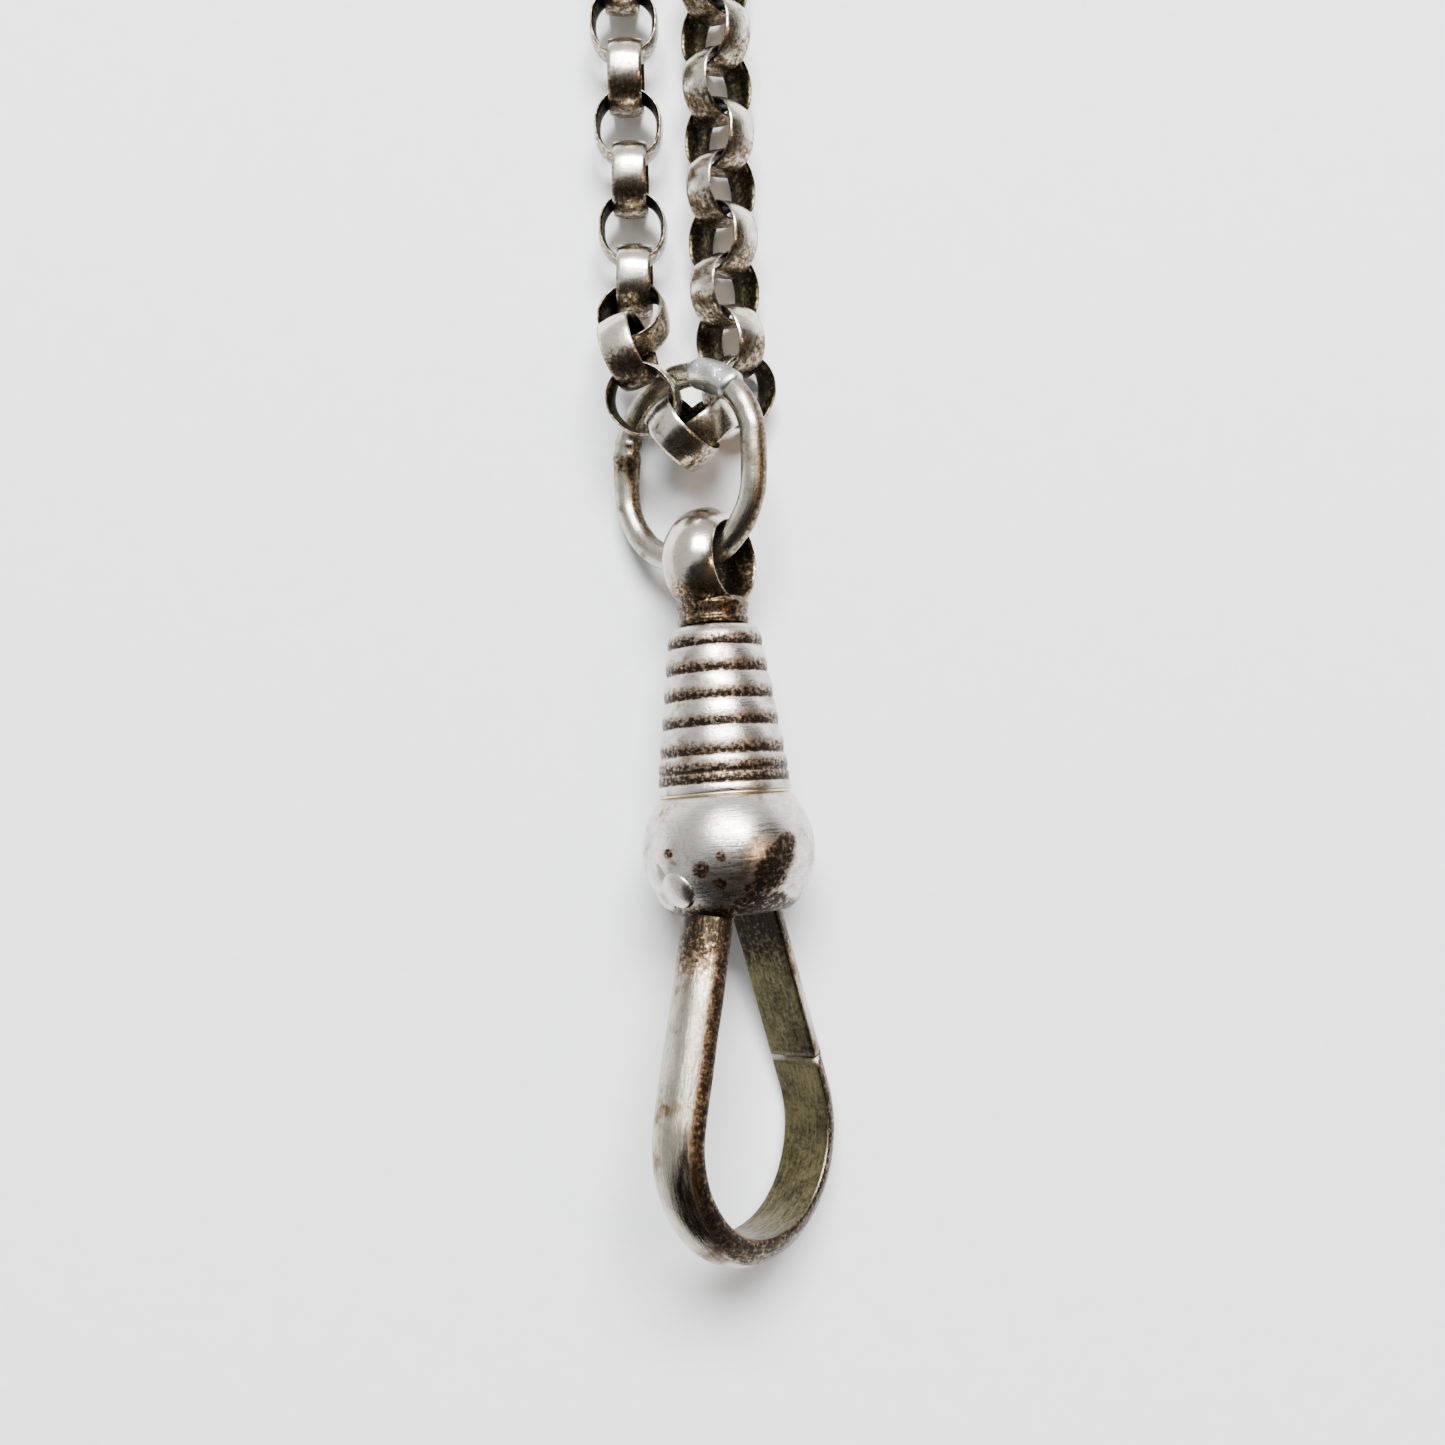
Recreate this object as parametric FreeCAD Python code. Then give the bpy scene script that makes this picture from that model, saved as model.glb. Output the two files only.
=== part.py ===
"""A belcher watch chain, doubled through a jump ring, with a swivel dog clip.

Millimetres, +Z up, lying on the table at z = 0, with the chain towards +Y. The clip is modelled in
its own frame (origin in the middle of the bulb, +Y to the swivel eye, +X to the gate, +Z square to
the hook's loop) and then laid down by CLIP_PLACE.
"""
import FreeCAD, Part
import math
import os

V = FreeCAD.Vector

# Chain links: a domed band bent into a short oval
LINK_WIDTH = 2.91
LINK_INNER_R = 1.16
LINK_OUTER_R = LINK_WIDTH / 2
LINK_STRAIGHT = 0.22
LINK_HALF_BAND = 0.70
LINK_INNER_RELIEF = 0.14
LINK_OUTER_DOME = 0.09
PITCH = 2.14

# Strands in view: each line of hinges across both strands, and the links between the lines
CHAIN_OFF_TABLE = 0.01
LEFT_FIRST_Y = 18.45
RIGHT_FIRST_Y = 18.08
LEFT_X_FIRST = -3.66
LEFT_X_LAST = -4.22
RIGHT_X_FIRST = 0.10
RIGHT_X_LAST = -0.38
STRAND_COUNT = 7

# The stretch out of view: straight on, then a flat coil of both strands side by side
STORED_STEP = 2.0
STORED_PER_NODE = 26
COIL_R = 28.0
COIL_HEART_R = 14.0
COIL_Y = 62.5
ROLL_DRIFT_LINKS = 9

# The origin's place: the middle of the footprint, at the table
CENTRE_X = 21.84
CENTRE_Y = 34.30

# Links round the jump ring, from the left strand to the right: middle, then yaw, lift and roll
BEND_LINKS = (
    ((-3.67, 16.68, 2.15), 2.4, -25.3, -14.4),
    ((-3.82, 15.11, 3.18), 15.3, -16.6, 72.0),
    ((-3.19, 13.08, 3.34), 42.9, -3.1, -12.1),
    ((-1.64, 11.79, 3.17), 51.1, 25.9, 65.7),
    ((-0.80, 12.37, 1.80), -44.5, -25.5, 110.4),
    ((0.69, 13.92, 1.33), -21.3, -4.0, 30.5),
    ((0.33, 15.92, 1.54), 17.1, -9.4, -50.0),
)

# Clip: where the middle of the bulb lies, and how the clip is turned
BULB_R = 3.5
BULB_X = 0.25
BULB_Y = -5.2
CLIP_ROLL = 50.0
CLIP_PITCH = 3.8
CLIP_YAW = 3.8

# Bulb and barrel, along the clip's axis
SHELL_WALL = 0.45
BULB_TOP_Y = 2.25
BULB_TOP_R = 2.62
BULB_FOOT_Y = -2.40
BULB_FOOT_R = 2.35
SOLDER_RING_TOP_Y = 2.37
BARREL_TOP_Y = 9.10
BARREL_FOOT_R = 2.75
BARREL_TOP_R = 1.85
BARREL_ROOF = 0.60
GROOVES_FROM_TOP = (0.84, 1.92, 3.00, 4.08, 5.20, 5.92, 6.32)
RIB_RISE = 0.09

# Swivel eye
STEM_R = 0.55
STEM_HOLE_R = 0.61
RIVET_R = 1.05
RIVET_TOP_Y = 8.40
RIVET_HIGH = 0.45
COLLAR_R = 1.0
COLLAR_FOOT_Y = 9.18
EYE_Y = 11.80
EYE_HOLE_R = 1.27
EYE_OUTER_R = 2.28
EYE_LIP_R = 1.64
EYE_HALF_BAND = 1.24
EYE_ELEVATION = 33.0

# Hook, gate and pin
BEND_Y = -11.3
LOOP_R = 3.85
HOOK_THICK = 1.20
HOOK_DEEP = 2.35
HOOK_EDGE = 0.25
ARM_LEAN = 17.7
ARM_ROOT_Y = -1.5
SEAM_Y = -8.4
SEAM_SLANT = 35.0
SEAM_GAP = 0.06
PIN_X = 1.45
PIN_Y = -1.15
PIN_R = 0.38
PIN_HALF = 2.75
PIN_RUNNING = 0.04
GATE_HALF_ROOT = 1.05

# Jump ring: a tilted oval of round wire
RING_X = -1.40
RING_Y = 10.45
RING_Z = 2.65
RING_BEND_R = 3.28
RING_STRAIGHT = 1.10
RING_WIRE_R = 0.525
RING_TILT = 36.0
SLEEVE_R = 0.66
SLEEVE_FROM = 46.0
SLEEVE_TO = 84.0


def clip_placement():
    """Roll about the clip's axis, then pitch, then yaw, then out to the bulb's place."""
    turn = FreeCAD.Rotation(V(0, 0, 1), CLIP_YAW)
    turn = turn.multiply(FreeCAD.Rotation(V(1, 0, 0), -CLIP_PITCH))
    turn = turn.multiply(FreeCAD.Rotation(V(0, 1, 0), CLIP_ROLL))
    return FreeCAD.Placement(V(BULB_X, BULB_Y, BULB_R), turn)


CLIP_PLACE = clip_placement()


def laid(shape):
    """A shape of the clip's own frame, laid down on the table."""
    moved = shape.copy()
    moved.Placement = CLIP_PLACE.multiply(moved.Placement)
    return moved


def arc(a, b, c):
    return Part.Arc(a, b, c).toShape()


def line(a, b):
    return Part.LineSegment(a, b).toShape()


def turned(edges):
    """A closed profile in the XY plane, turned about the Y axis."""
    return Part.Face(Part.Wire(edges)).revolve(V(0, 0, 0), V(0, 1, 0), 360)


# ---------------------------------------------------------------- chain links

def link_section():
    inner, outer, half = LINK_INNER_R, LINK_OUTER_R, LINK_HALF_BAND
    edge_in = inner + LINK_INNER_RELIEF
    edge_out = outer - LINK_OUTER_DOME
    foot_in, foot_out = V(edge_in, 0, -half), V(edge_out, 0, -half)
    head_in, head_out = V(edge_in, 0, half), V(edge_out, 0, half)
    edges = [arc(foot_in, V(inner, 0, 0), head_in), line(head_in, head_out),
             arc(head_out, V(outer, 0, 0), foot_out), line(foot_out, foot_in)]
    return Part.Face(Part.Wire(edges))


def oval_band(section, straight):
    """A section in the XZ plane, carried round two half circles and the straights between them."""
    half = straight / 2
    head = section.revolve(V(0, 0, 0), V(0, 0, 1), 180)
    foot = section.revolve(V(0, 0, 0), V(0, 0, 1), -180)
    head.translate(V(0, half, 0))
    foot.translate(V(0, -half, 0))
    right = section.copy()
    right.translate(V(0, -half, 0))
    left = section.copy()
    left.rotate(V(0, 0, 0), V(0, 0, 1), 180)
    left.translate(V(0, -half, 0))
    sides = [right.extrude(V(0, straight, 0)), left.extrude(V(0, straight, 0))]
    return head.fuse([foot] + sides).removeSplitter().Solids[0]


LINK = oval_band(link_section(), LINK_STRAIGHT)


def chain_height(roll):
    """The height of the chain's axis when its links, rolled by turns a right angle apart, touch the table."""
    corner = LINK_OUTER_R - LINK_OUTER_DOME
    heights = []
    for angle in (math.radians(roll), math.radians(roll + 90)):
        rise, run = abs(math.sin(angle)), abs(math.cos(angle))
        heights.append(max(LINK_OUTER_R * rise, corner * rise + LINK_HALF_BAND * run))
    return max(heights) + CHAIN_OFF_TABLE


def link_at(centre, yaw, lift, roll):
    """A link at centre, its long way turned by yaw from +Y and lifted, and rolled about itself."""
    turn = FreeCAD.Rotation(V(0, 0, 1), yaw)
    turn = turn.multiply(FreeCAD.Rotation(V(1, 0, 0), lift))
    turn = turn.multiply(FreeCAD.Rotation(V(0, 1, 0), roll))
    placed = LINK.copy()
    placed.Placement = FreeCAD.Placement(centre, turn)
    return placed


# ---------------------------------------------------------------- bulb and barrel

def bulb_shell():
    wall = SHELL_WALL
    rim_in = V(BULB_TOP_R - wall, BULB_TOP_Y, 0)
    rim_out = V(BULB_TOP_R, BULB_TOP_Y, 0)
    foot_out = V(BULB_FOOT_R, BULB_FOOT_Y, 0)
    pole_out = V(0, BULB_FOOT_Y, 0)
    foot_in = V(BULB_FOOT_R - wall, BULB_FOOT_Y + wall, 0)
    pole_in = V(0, BULB_FOOT_Y + wall, 0)
    edges = [line(rim_in, rim_out),
             arc(rim_out, V(BULB_R, 0, 0), foot_out),
             line(foot_out, pole_out),
             line(pole_out, pole_in),
             line(pole_in, foot_in),
             arc(foot_in, V(BULB_R - wall, 0, 0), rim_in)]
    return turned(edges)


def bulb_outline():
    """The bulb as a full body, to cut what lies against it."""
    rim, foot = V(BULB_TOP_R, BULB_TOP_Y, 0), V(BULB_FOOT_R, BULB_FOOT_Y, 0)
    pole = V(0, BULB_FOOT_Y, 0)
    edges = [line(V(0, BULB_TOP_Y, 0), rim), arc(rim, V(BULB_R, 0, 0), foot),
             line(foot, pole), line(pole, V(0, BULB_TOP_Y, 0))]
    return turned(edges)


def solder_ring():
    low, high = BULB_TOP_Y, SOLDER_RING_TOP_Y
    inner = BULB_TOP_R - SHELL_WALL
    outer = BULB_TOP_R + 0.05
    middle = (low + high) / 2
    edges = [line(V(inner, low, 0), V(BULB_TOP_R, low, 0)),
             arc(V(BULB_TOP_R, low, 0), V(outer, middle, 0), V(BULB_TOP_R, high, 0)),
             line(V(BULB_TOP_R, high, 0), V(inner, high, 0)),
             line(V(inner, high, 0), V(inner, low, 0))]
    return turned(edges)


def barrel_radius(y):
    share = (y - SOLDER_RING_TOP_Y) / (BARREL_TOP_Y - SOLDER_RING_TOP_Y)
    return BARREL_FOOT_R + (BARREL_TOP_R - BARREL_FOOT_R) * share


def barrel():
    """A tapered tube whose outside is a row of rounded ribs, closed at the top round the stem."""
    stops = [SOLDER_RING_TOP_Y] + [BARREL_TOP_Y - g for g in reversed(GROOVES_FROM_TOP)]
    stops.append(BARREL_TOP_Y - 0.25)
    points = [V(barrel_radius(y) - RIB_RISE, y, 0) for y in stops]
    edges = []
    for low, high in zip(points, points[1:]):
        middle = (low.y + high.y) / 2
        rise = RIB_RISE * min(1.0, (high.y - low.y) / 0.8)
        edges.append(arc(low, V((low.x + high.x) / 2 + rise, middle, 0), high))
    shoulder = V(points[-1].x - 0.25, BARREL_TOP_Y, 0)
    lip = V(STEM_HOLE_R, BARREL_TOP_Y, 0)
    throat = V(STEM_HOLE_R, BARREL_TOP_Y - BARREL_ROOF, 0)
    roof = V(barrel_radius(throat.y) - SHELL_WALL, throat.y, 0)
    foot_in = V(BULB_TOP_R - SHELL_WALL, SOLDER_RING_TOP_Y, 0)
    edges.append(arc(points[-1], V(points[-1].x - 0.07, BARREL_TOP_Y - 0.07, 0), shoulder))
    edges += [line(shoulder, lip), line(lip, throat), line(throat, roof), line(roof, foot_in)]
    edges.append(line(foot_in, points[0]))
    return turned(edges)


# ---------------------------------------------------------------- swivel eye

def eye_axis():
    """The hole's axis: across the clip, its right end raised, in the clip's own frame."""
    tilt = math.radians(EYE_ELEVATION)
    world = V(math.cos(tilt), 0, math.sin(tilt))
    own = CLIP_PLACE.Rotation.inverted().multVec(world)
    own.y = 0
    return own.normalize()


def swivel_eye():
    """A stem with a collar, and a domed band with a flared hole that the jump ring runs in."""
    half = EYE_HALF_BAND
    foot, head = V(EYE_LIP_R, 0, -half), V(EYE_LIP_R, 0, half)
    section = Part.Face(Part.Wire([arc(foot, V(EYE_HOLE_R, 0, 0), head),
                                   arc(head, V(EYE_OUTER_R, 0, 0), foot)]))
    band = section.revolve(V(0, 0, 0), V(0, 0, 1), 360)
    across = FreeCAD.Rotation(V(0, 0, 1), eye_axis())
    band.Placement = FreeCAD.Placement(V(0, EYE_Y, 0), across)
    stem = Part.makeCylinder(STEM_R, COLLAR_FOOT_Y - RIVET_TOP_Y + 0.1, V(0, RIVET_TOP_Y, 0), V(0, 1, 0))
    collar = Part.makeCylinder(COLLAR_R, 0.35, V(0, COLLAR_FOOT_Y, 0), V(0, 1, 0))
    neck = Part.makeCone(COLLAR_R, 0.8, 0.9, V(0, COLLAR_FOOT_Y + 0.35, 0), V(0, 1, 0))
    bore = Part.makeCylinder(EYE_LIP_R - 0.1, 6, V(0, EYE_Y, 0) - eye_axis() * 3, eye_axis())
    return band.fuse([stem, collar, neck.cut(bore)]).removeSplitter().Solids[0]


def eye_rivet_head():
    return Part.makeCylinder(RIVET_R, RIVET_HIGH, V(0, RIVET_TOP_Y - RIVET_HIGH, 0), V(0, 1, 0))


# ---------------------------------------------------------------- hook and gate

def arm_section():
    """Flat inside, domed outside: X from the loop's inner face outwards, Z across."""
    half = HOOK_DEEP / 2
    foot, head = V(LOOP_R, 0, -half), V(LOOP_R, 0, half)
    foot_edge, head_edge = foot + V(HOOK_EDGE, 0, 0), head + V(HOOK_EDGE, 0, 0)
    edges = [line(foot, head), line(head, head_edge),
             arc(head_edge, V(LOOP_R + HOOK_THICK, 0, 0), foot_edge), line(foot_edge, foot)]
    return Part.Face(Part.Wire(edges))


def loop_arm(side, low_y, high_y):
    """One straight arm: it leaves the bend's end and leans in towards the bulb."""
    lean = math.radians(ARM_LEAN)
    section = arm_section()
    length = (high_y - BEND_Y) / math.cos(lean)
    arm = section.extrude(V(0, length, 0))
    arm.rotate(V(0, 0, 0), V(0, 0, 1), ARM_LEAN)
    arm.translate(V(0, BEND_Y, 0))
    if side < 0:
        arm.rotate(V(0, 0, 0), V(0, 1, 0), 180)
    keep = Part.makeBox(20, high_y - low_y, 20, V(-10, low_y, -10))
    return arm.common(keep)


def loop_bend():
    """The round end of the loop, from one arm to the other."""
    section = arm_section()
    section.rotate(V(0, 0, 0), V(0, 0, 1), ARM_LEAN)
    bend = section.revolve(V(0, 0, 0), V(0, 0, 1), -180 - 2 * ARM_LEAN)
    bend.translate(V(0, BEND_Y, 0))
    return bend


def seam_side(drop):
    """Everything on the bend's side of the slanted seam, lowered by drop."""
    lean = math.radians(ARM_LEAN)
    middle_x = (LOOP_R + HOOK_THICK / 2) / math.cos(lean) - (SEAM_Y - BEND_Y) * math.tan(lean)
    block = Part.makeBox(12, 12, 12, V(-6, -12, -6))
    block.rotate(V(0, 0, 0), V(0, 0, 1), ARM_LEAN + SEAM_SLANT)
    block.translate(V(middle_x, SEAM_Y - drop, 0))
    return block


def hook():
    fixed = loop_arm(-1, BEND_Y - 1, ARM_ROOT_Y)
    tip = loop_arm(1, BEND_Y - 1, SEAM_Y + 2.5).common(seam_side(SEAM_GAP))
    return fixed.fuse([loop_bend(), tip]).removeSplitter().Solids[0]


def gate():
    """The moving arm: it ends at the slanted seam, and its root is a knuckle round the pin."""
    arm = loop_arm(1, SEAM_Y - 2.5, PIN_Y).cut(seam_side(0))
    root = Part.makeBox(4, 4, 2 * GATE_HALF_ROOT, V(-0.2, BULB_FOOT_Y + 0.15, -GATE_HALF_ROOT))
    outside = Part.makeBox(8, 12, 8, V(-1, BULB_FOOT_Y + 0.15 - 12, -4))
    narrowed = arm.common(root.fuse(outside))
    knuckle = Part.makeCylinder(0.85, 2 * GATE_HALF_ROOT, V(PIN_X, PIN_Y, -GATE_HALF_ROOT), V(0, 0, 1))
    hole = Part.makeCylinder(PIN_R + PIN_RUNNING, 6, V(PIN_X, PIN_Y, -3), V(0, 0, 1))
    room = bulb_outline().common(Part.makeBox(8, 8, 8, V(-4, BULB_FOOT_Y + 0.15, -4)))
    inside = narrowed.common(room.fuse(outside))
    return inside.fuse(knuckle).cut(hole).removeSplitter().Solids[0]


def gate_slot():
    """The opening in the bulb's foot that the gate's root swings in."""
    return Part.makeBox(3.2, 3.0, HOOK_DEEP + 0.16, V(0.25, BULB_FOOT_Y - 1.2, -HOOK_DEEP / 2 - 0.08))


def gate_pin():
    return Part.makeCylinder(PIN_R, 2 * PIN_HALF, V(PIN_X, PIN_Y, -PIN_HALF), V(0, 0, 1))


def gate_spring():
    """A leaf on the bulb's inner wall that presses the gate's root from the far side."""
    leaf = Part.makeBox(0.16, 2.6, 1.4, V(0.35, BULB_FOOT_Y + 0.35, -0.7))
    return leaf


def hook_solder():
    lobes = Part.makeSphere(0.95, V(-2.75, -1.35, -0.75))
    other = Part.makeSphere(0.85, V(-2.45, -1.75, 0.35))
    return lobes.fuse(other).cut(bulb_outline()).cut(hook())


# ---------------------------------------------------------------- jump ring

def ring_frame():
    turn = FreeCAD.Rotation(V(0, 1, 0), -RING_TILT)
    return FreeCAD.Placement(V(RING_X, RING_Y, RING_Z), turn)


def jump_ring():
    """Round wire bent to an oval whose long way lies along Y."""
    circle = Part.makeCircle(RING_WIRE_R, V(RING_BEND_R, 0, 0), V(0, 1, 0))
    ring = oval_band(Part.Face(Part.Wire(circle)), RING_STRAIGHT)
    ring.Placement = ring_frame()
    return ring


def strand_links(name, first_y, first_x, last_x, roll):
    """The links in view of one strand, counted away from the jump ring; each is rolled by a right angle."""
    links = {}
    for index in range(STRAND_COUNT):
        share = index / (STRAND_COUNT - 1)
        centre = V(first_x + (last_x - first_x) * share, first_y + PITCH * index, chain_height(roll))
        links["%s_link_%d" % (name, index + 1)] = link_at(centre, 0, 0, roll + 90 * index)
    return links


# ---------------------------------------------------------------- stored chain

def evenly(start, stop, spacing):
    """Values from start to stop, both included, about spacing apart."""
    count = max(1, round(abs(stop - start) / spacing))
    return [start + (stop - start) * step / count for step in range(count + 1)]


def coil_point(angle, radius):
    """A point of the coil: angle runs clockwise from its left side."""
    middle_x = LEFT_X_LAST + COIL_R
    return V(middle_x - radius * math.cos(angle), COIL_Y + radius * math.sin(angle), 0)


def stored_path():
    """The chain's line out of view: straight on, round and in, an S in the middle, and out beside itself."""
    gap = RIGHT_X_LAST - LEFT_X_LAST
    fall = gap / math.pi
    sweep = (COIL_R - COIL_HEART_R) / fall
    last = PITCH * (STRAND_COUNT - 0.5)
    heart = coil_point(sweep, COIL_HEART_R / 2)
    far_heart = coil_point(sweep - math.pi, COIL_HEART_R / 2)
    points = [V(LEFT_X_LAST, y, 0) for y in evenly(LEFT_FIRST_Y + last, COIL_Y, 0.5)]
    points += [coil_point(a, COIL_R - fall * a) for a in evenly(0, sweep, 0.02)]
    spoke = coil_point(sweep, COIL_HEART_R) - heart
    points += [heart + FreeCAD.Rotation(V(0, 0, 1), -a).multVec(spoke) for a in evenly(2, 180, 2)]
    points += [far_heart + FreeCAD.Rotation(V(0, 0, 1), a).multVec(spoke) for a in evenly(2, 178, 2)]
    points += [coil_point(a, COIL_R - gap - fall * a) for a in evenly(sweep - math.pi, 0, 0.02)]
    points += [V(RIGHT_X_LAST, y, 0) for y in evenly(COIL_Y, RIGHT_FIRST_Y + last, 0.5)]
    return points


def walk(points, step):
    """Places an even number of stations along the points: each station's middle and its heading."""
    runs = [(a, b, (b - a).Length) for a, b in zip(points, points[1:]) if (b - a).Length > 1e-6]
    total = sum(run[2] for run in runs)
    count = 2 * round(total / (2 * step))
    stations = []
    travelled = 0.0
    for start, end, length in runs:
        while len(stations) < count:
            wanted = total * (len(stations) + 0.5) / count
            if wanted > travelled + length:
                break
            share = (wanted - travelled) / length
            heading = math.degrees(math.atan2(start.x - end.x, end.y - start.y))
            stations.append((start + (end - start) * share, heading))
        travelled += length
    return stations


def stored_links():
    """The links out of view, a node for each stretch; their roll drifts from one strand's to the other's."""
    placed = []
    for index, (middle, heading) in enumerate(walk(stored_path(), STORED_STEP)):
        drift = -45.0 * min(1.0, (index + 1) / ROLL_DRIFT_LINKS)
        middle.z = chain_height(drift)
        placed.append(link_at(middle, heading, 0, drift + 90 * index))
    nodes = {}
    for first in range(0, len(placed), STORED_PER_NODE):
        name = "stored_chain_%02d" % (first // STORED_PER_NODE + 1)
        nodes[name] = Part.makeCompound(placed[first:first + STORED_PER_NODE])
    return nodes


def bend_links():
    """The links that turn round the jump ring's wire: over its low side, and back under its high side."""
    links = {}
    for number, (middle, yaw, lift, roll) in enumerate(BEND_LINKS, 1):
        links["bend_link_%d" % number] = link_at(V(*middle), yaw, lift, roll)
    return links


def jump_ring_solder():
    """The thick repaired stretch: a sleeve of solder run on round the wire."""
    middle = V(RING_BEND_R, 0, 0)
    outer = Part.Face(Part.Wire(Part.makeCircle(SLEEVE_R, middle, V(0, 1, 0))))
    inner = Part.Face(Part.Wire(Part.makeCircle(RING_WIRE_R, middle, V(0, 1, 0))))
    sleeve = outer.cut(inner)
    sleeve.rotate(V(0, 0, 0), V(0, 0, 1), SLEEVE_FROM)
    sleeve = sleeve.Faces[0].revolve(V(0, 0, 0), V(0, 0, 1), SLEEVE_TO - SLEEVE_FROM)
    sleeve.translate(V(0, RING_STRAIGHT / 2, 0))
    sleeve.Placement = ring_frame().multiply(sleeve.Placement)
    return sleeve


def export(name, shape):
    placed = shape.copy()
    placed.translate(V(-CENTRE_X, -CENTRE_Y, 0))
    placed.exportStep("parts/%s.step" % name)
    print(name, round(shape.Volume, 3), shape.isValid(), len(shape.Solids), flush=True)


def clip_parts():
    bulb = bulb_shell().cut(gate_slot()).cut(hook())
    pin = gate_pin()
    return {
        "bulb_shell": bulb.cut(pin).Solids[0],
        "barrel": barrel(),
        "barrel_solder_ring": solder_ring(),
        "swivel_eye": swivel_eye(),
        "eye_rivet_head": eye_rivet_head(),
        "hook": hook(),
        "hook_solder": hook_solder(),
        "gate": gate(),
        "gate_pin": pin,
        "gate_spring": gate_spring(),
    }


def main():
    os.makedirs("parts", exist_ok=True)
    for name, shape in clip_parts().items():
        export(name, laid(shape))
    export("jump_ring", jump_ring())
    export("jump_ring_solder", jump_ring_solder())
    chain = strand_links("left", LEFT_FIRST_Y, LEFT_X_FIRST, LEFT_X_LAST, 90)
    chain.update(strand_links("right", RIGHT_FIRST_Y, RIGHT_X_FIRST, RIGHT_X_LAST, 45))
    chain.update(bend_links())
    chain.update(stored_links())
    for name, shape in chain.items():
        export(name, shape)


main()
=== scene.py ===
"""The looks of the doubled belcher watch chain and its swivel dog clip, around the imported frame."""
import math

import bmesh
import bpy
from mathutils import Matrix, Vector, noise


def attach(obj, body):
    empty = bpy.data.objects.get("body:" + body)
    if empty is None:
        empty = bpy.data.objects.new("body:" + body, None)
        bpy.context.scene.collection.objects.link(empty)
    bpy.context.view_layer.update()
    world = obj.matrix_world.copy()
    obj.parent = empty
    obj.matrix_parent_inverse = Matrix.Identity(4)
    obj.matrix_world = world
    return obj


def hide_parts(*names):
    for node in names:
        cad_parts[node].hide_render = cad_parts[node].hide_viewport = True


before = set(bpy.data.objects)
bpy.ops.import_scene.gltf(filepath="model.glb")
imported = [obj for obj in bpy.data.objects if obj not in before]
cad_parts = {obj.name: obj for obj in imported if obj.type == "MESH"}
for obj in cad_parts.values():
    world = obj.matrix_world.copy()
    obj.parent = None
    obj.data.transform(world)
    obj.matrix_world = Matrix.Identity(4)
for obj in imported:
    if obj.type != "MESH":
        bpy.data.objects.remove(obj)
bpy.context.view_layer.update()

MM = 0.001

# The frame's origin in the layout below, which is in millimetres from the point under the camera
CENTRE = Vector((21.84, 34.30, 0.0))
TO_FRAME = Matrix.Scale(MM, 4) @ Matrix.Translation(-CENTRE)

# Chain
LINK_INNER_R, LINK_OUTER_R = 1.16, 1.455
LINK_STRAIGHT, LINK_HALF_BAND = 0.22, 0.70
LINK_INNER_RELIEF, LINK_OUTER_DOME = 0.14, 0.09
PITCH = 2.14
STRAND_COUNT = 7
# Each strand: first link's y, first and last link's x, first link's roll in degrees, height
STRANDS = {
    "left": (18.45, -3.66, -4.22, 90.0, 1.465),
    "right": (18.08, 0.10, -0.38, 45.0, 1.470),
}
# Each link of the bend: its middle, then its turns about Z, X and Y in degrees
BEND_LINKS = (
    ((-3.67, 16.68, 2.15), 2.4, -25.3, -14.4),
    ((-3.82, 15.11, 3.18), 15.3, -16.6, 72.0),
    ((-3.19, 13.08, 3.34), 42.9, -3.1, -12.1),
    ((-1.64, 11.79, 3.17), 51.1, 25.9, 65.7),
    ((-0.80, 12.37, 1.80), -44.5, -25.5, 110.4),
    ((0.69, 13.92, 1.33), -21.3, -4.0, 30.5),
    ((0.33, 15.92, 1.54), 17.1, -9.4, -50.0),
)

# The rest of the chain, coiled beyond the strands
STORED_STEP, STORED_PER_NODE, ROLL_DRIFT_LINKS = 2.0, 26, 9
COIL_R, COIL_HEART_R, COIL_Y = 28.0, 14.0, 62.5
CHAIN_OFF_TABLE = 0.01

# Clip
BULB_R = 3.5
BULB_X, BULB_Y = 0.25, -5.2
CLIP_ROLL, CLIP_PITCH, CLIP_YAW = 50.0, 3.8, 3.8
SHELL_WALL = 0.45
BULB_TOP_Y, BULB_TOP_R = 2.25, 2.62
BULB_FOOT_Y, BULB_FOOT_R = -2.40, 2.35
SOLDER_RING_TOP_Y, SOLDER_RING_FOOT_R = 2.37, 2.17
SLOT_FROM_X, SLOT_LONG, SLOT_HIGH = 0.25, 3.2, 3.0
SLOT_CLEARANCE, SLOT_EDGE_R = 0.16, 0.18
BARREL_TOP_Y, BARREL_FOOT_R, BARREL_TOP_R = 9.10, 2.75, 1.85
BARREL_MOUTH_R = 0.61
GROOVES_FROM_TOP = (0.84, 1.92, 3.00, 4.08, 5.20, 5.92, 6.32)
STEM_R, STEM_FOOT_Y, COLLAR_FOOT_Y = 0.55, 8.42, 9.18
EYE_Y, EYE_HOLE_R, EYE_OUTER_R, EYE_LIP_R, EYE_HALF_BAND = 11.80, 1.27, 2.28, 1.64, 1.24
EYE_ELEVATION = 33.0
BEND_Y, LOOP_R = -11.3, 3.85
HOOK_THICK, HOOK_DEEP, HOOK_EDGE = 1.20, 2.35, 0.25
ARM_LEAN, ARM_ROOT_Y = 17.7, -1.5
SEAM_Y, SEAM_SLANT, SEAM_GAP = -8.4, 35.0, 0.06
PIN_X, PIN_Y, PIN_R, PIN_HALF = 1.45, -1.15, 0.38, 2.75
KNUCKLE_BORE_R, KNUCKLE_R, KNUCKLE_HALF = 0.42, 0.85, 1.05

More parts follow.
